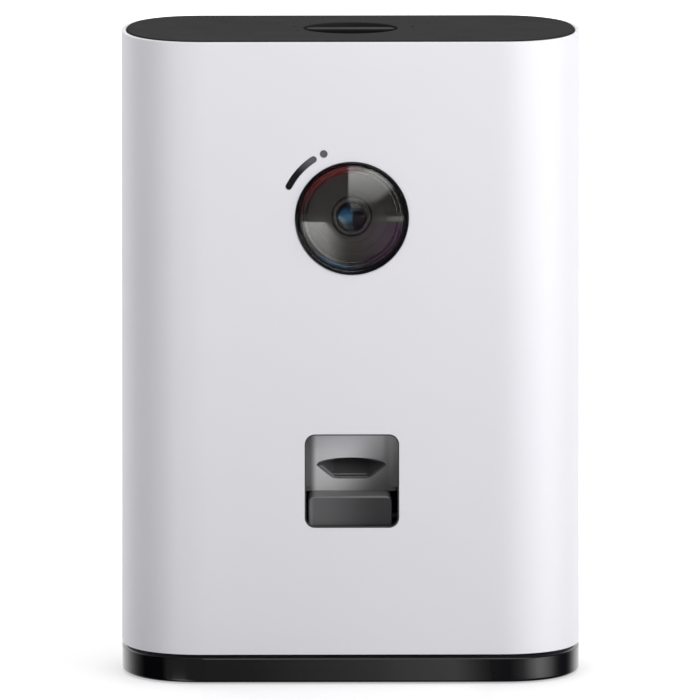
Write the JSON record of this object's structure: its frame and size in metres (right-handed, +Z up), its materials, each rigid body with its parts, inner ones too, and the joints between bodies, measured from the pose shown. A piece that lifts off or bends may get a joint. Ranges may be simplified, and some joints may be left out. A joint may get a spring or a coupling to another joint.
{
  "type": "treat tossing pet camera",
  "caption": "Upright oval pet camera with a twist-lock treat lid, a domed lens, a status light and a square window with a tossing paddle.",
  "frame": {"origin": "middle of the foot pad's lower face, on the surface that the camera stands on", "axes": "+Z up, -Y out of the front with the lens and window, +X to the right seen from the front"},
  "size_m": [0.17, 0.0882, 0.24],
  "materials": {
    "white_shell": "satin white moulding",
    "black_gloss": "polished black",
    "black_satin": "satin black",
    "black_matte": "matte black",
    "grey_liner": "satin grey",
    "paddle_grey": "satin dark grey",
    "frame_plastic": "moulded, unfinished",
    "clear_plastic": "frosted clear",
    "gear_plastic": "natural acetal",
    "steel": "bright steel",
    "bearing_bronze": "sintered bronze",
    "board": "glass-filled circuit board",
    "rubber": "soft black rubber",
    "lens": "clear coated lens"
  },
  "bodies": {
    "case": {"outer_shell": "white_shell", "base_cover": "black_gloss", "foot_pad": "rubber", "base_screw_1": "steel", "base_screw_2": "steel", "base_screw_3": "steel", "base_screw_4": "steel", "inner_frame": "frame_plastic", "chute_liner": "grey_liner", "drum_housing": "frame_plastic", "drum_cover": "frame_plastic", "drum_bush_left": "bearing_bronze", "drum_bush_right": "bearing_bronze", "drum_motor": "steel", "toss_motor": "steel", "paddle_bush_left": "bearing_bronze", "paddle_bush_right": "bearing_bronze", "hopper": "clear_plastic", "hopper_funnel": "clear_plastic", "lens_bezel": "black_gloss", "lens_dome": "lens", "camera_housing": "black_matte", "lens_baffle": "black_matte", "lens_barrel": "black_matte", "lens_glass": "lens", "camera_board": "board", "infrared_lamp_left": "lens", "infrared_lamp_right": "lens", "status_light": "clear_plastic", "sensor_window": "clear_plastic", "indicator_board": "board", "main_board": "board", "rear_board": "board", "power_inlet": "black_matte", "reset_switch": "black_matte", "speaker": "black_matte"},
    "lid": {"lid_panel": "black_satin", "lid_plug": "black_matte", "lid_seal": "rubber"},
    "lock": {"lock_knob": "black_satin", "lock_cam": "gear_plastic", "cam_screw": "steel"},
    "drum": {"treat_drum": "paddle_grey", "drum_shaft": "steel", "drum_gear": "gear_plastic"},
    "drum_pinion": {"drum_pinion": "gear_plastic"},
    "paddle": {"toss_paddle": "paddle_grey", "paddle_shaft": "steel", "paddle_gear": "gear_plastic"},
    "toss_pinion": {"toss_pinion": "gear_plastic"},
    "reset_button": {"reset_button": "black_satin"}
  },
  "joints": [
    {"name": "lid_lift", "type": "slide", "parent": "case", "child": "lid", "axis": [0, 0, 1], "range_m": [0, 0.045]},
    {"name": "lock_turn", "type": "hinge", "parent": "lid", "child": "lock", "pos_m": [0, 0, 0.24], "axis": [0, 0, 1], "range_deg": [0, 90]},
    {"name": "drum_turn", "type": "hinge", "parent": "case", "child": "drum", "pos_m": [0, 0.016, 0.099], "axis": [1, 0, 0], "continuous": true},
    {"name": "drum_pinion_turn", "type": "hinge", "parent": "case", "child": "drum_pinion", "pos_m": [0, 0.016, 0.075], "axis": [1, 0, 0], "continuous": true},
    {"name": "paddle_swing", "type": "hinge", "parent": "case", "child": "paddle", "pos_m": [0, -0.0358, 0.062], "axis": [1, 0, 0], "range_deg": [0, 50]},
    {"name": "toss_pinion_turn", "type": "hinge", "parent": "case", "child": "toss_pinion", "pos_m": [0, -0.01614, 0.04823], "axis": [1, 0, 0], "continuous": true},
    {"name": "reset_press", "type": "slide", "parent": "case", "child": "reset_button", "axis": [0, -1, 0], "range_m": [0, 0.0006], "stiffness_N_per_m": 400}
  ],
  "couplings": [
    {"joint": "drum_pinion_turn", "follows": "drum_turn", "ratio": -4},
    {"joint": "toss_pinion_turn", "follows": "paddle_swing", "ratio": -4}
  ]
}
